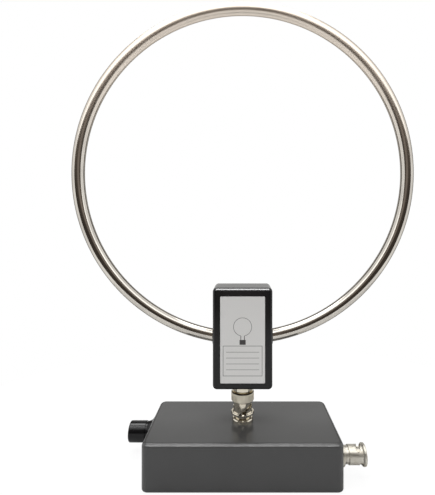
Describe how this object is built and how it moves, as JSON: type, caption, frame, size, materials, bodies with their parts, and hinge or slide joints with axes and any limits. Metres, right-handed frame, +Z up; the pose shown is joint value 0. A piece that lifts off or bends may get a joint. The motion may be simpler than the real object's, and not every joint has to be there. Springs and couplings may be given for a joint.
{
  "type": "radio loop antenna",
  "caption": "Table-top active loop antenna: polished loop on a small head, plugged by a bayonet connector into a grey base box with tuning knob and outgoing plug.",
  "frame": {"origin": "middle of the base's underside, below the loop connector's axis", "axes": "+Z up along the loop connector; +X towards the outgoing plug; the label faces -Y"},
  "size_m": [0.22, 0.057, 0.2967],
  "materials": {
    "grey_case": "satin",
    "black_case": "satin",
    "gloss_black": "satin",
    "label_silver": "fine satin",
    "stainless": "polished",
    "nickel": "plated",
    "gold": "gold plated",
    "brass": "machined",
    "white_insulator": "waxy",
    "board_green": "solder mask",
    "dark_rubber": "matte",
    "black_moulding": "matte",
    "seal_rubber": "matte",
    "zinc": "zinc plated",
    "cell_foil": "foil laminate",
    "lamp_red": "clear red"
  },
  "bodies": {
    "base": {"base_shell": "grey_case", "base_cover": "grey_case", "cover_screws": "zinc", "main_board": "board_green", "board_screws": "zinc", "shield_can": "nickel", "battery": "cell_foil", "jack_body": "nickel", "jack_insulator": "white_insulator", "jack_contact": "gold", "jack_washer": "zinc", "jack_nut": "nickel", "out_plug_body": "nickel", "out_plug_insulator": "white_insulator", "out_plug_pin": "gold", "out_plug_seal": "seal_rubber", "out_plug_washer": "zinc", "out_plug_nut": "nickel", "tuning_control": "zinc", "control_washer": "zinc", "control_nut": "nickel", "switch_body": "zinc", "charge_socket": "nickel", "charge_tongue": "black_moulding", "charge_lamp": "lamp_red"},
    "knob": {"control_shaft": "zinc", "tuning_knob": "gloss_black"},
    "switch": {"switch_slider": "gloss_black"},
    "output_nut": {"out_coupling_nut": "nickel"},
    "carrier": {"plug_seal": "seal_rubber", "spring_washer": "zinc"},
    "loop_nut": {"coupling_nut": "nickel"},
    "head": {"plug_body": "nickel", "plug_insulator": "white_insulator", "plug_pin": "gold", "plug_nut": "nickel", "head_case": "black_case", "head_cover": "black_case", "head_label": "label_silver", "head_screws": "zinc", "head_board": "board_green", "head_board_screws": "zinc", "transformer": "black_moulding", "head_leads": "gold", "loop_tube": "stainless", "tube_grommets": "dark_rubber", "tube_clamps": "brass", "clamp_screws": "zinc"}
  },
  "joints": [
    {"name": "tuning_turn", "type": "hinge", "parent": "base", "child": "knob", "pos_m": [-0.0585, 0.012, 0.01375], "axis": [-1, 0, 0], "range_deg": [-150, 150]},
    {"name": "switch_slide", "type": "slide", "parent": "base", "child": "switch", "axis": [1, 0, 0], "range_m": [-0.0015, 0.0015]},
    {"name": "output_nut_turn", "type": "hinge", "parent": "base", "child": "output_nut", "pos_m": [0.0585, -0.014, 0.01375], "axis": [1, 0, 0], "continuous": true},
    {"name": "coupling_lift", "type": "slide", "parent": "base", "child": "carrier", "axis": [0, 0, 1], "range_m": [0, 0.0024]},
    {"name": "bayonet_turn", "type": "hinge", "parent": "carrier", "child": "loop_nut", "pos_m": [0, 0, 0.039], "axis": [0, 0, 1], "range_deg": [0, 90.1]},
    {"name": "loop_swivel", "type": "hinge", "parent": "carrier", "child": "head", "pos_m": [0, 0, 0.044], "axis": [0, 0, 1], "continuous": true}
  ],
  "couplings": [
    {"joint": "bayonet_turn", "follows": "coupling_lift", "rad_per_m": 654.5}
  ]
}
